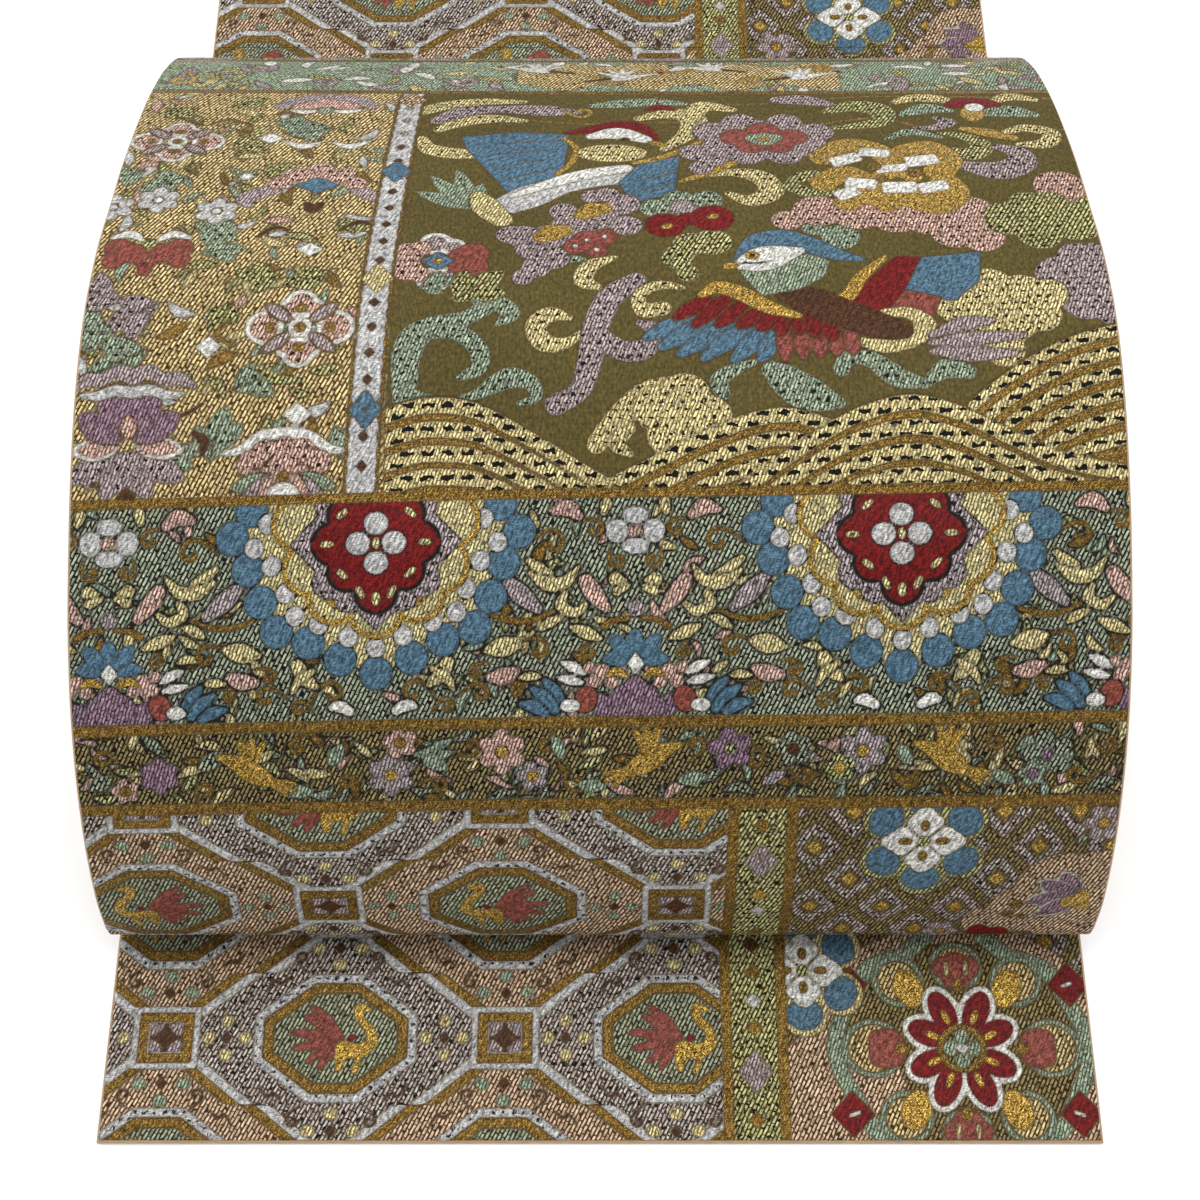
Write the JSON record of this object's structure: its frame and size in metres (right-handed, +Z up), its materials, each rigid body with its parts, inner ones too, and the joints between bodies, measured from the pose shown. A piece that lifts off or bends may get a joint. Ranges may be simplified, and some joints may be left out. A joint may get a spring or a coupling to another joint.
{
  "type": "obi sash",
  "caption": "Wide double-woven brocade obi sash laid on a table, its drum arched up behind the loose tail and the rest folded flat.",
  "frame": {"origin": "middle of the underside, on the table", "axes": "+X across the cloth, to the right seen from the tail end; -Y towards the tail end, +Y towards the folded rest; +Z up"},
  "size_m": [0.3116, 0.7902, 0.1315],
  "materials": {
    "brocade": "figured silk brocade with metallic gold yarn",
    "back_cloth": "plain woven silk",
    "folded_layers": "folded edges of brocade and plain silk"
  },
  "bodies": {
    "root": {"tail_front": "brocade", "tail_back": "back_cloth", "drum_front": "brocade", "drum_back": "back_cloth", "upper_front": "brocade", "upper_back": "back_cloth", "folded_rest": "folded_layers"}
  },
  "joints": []
}
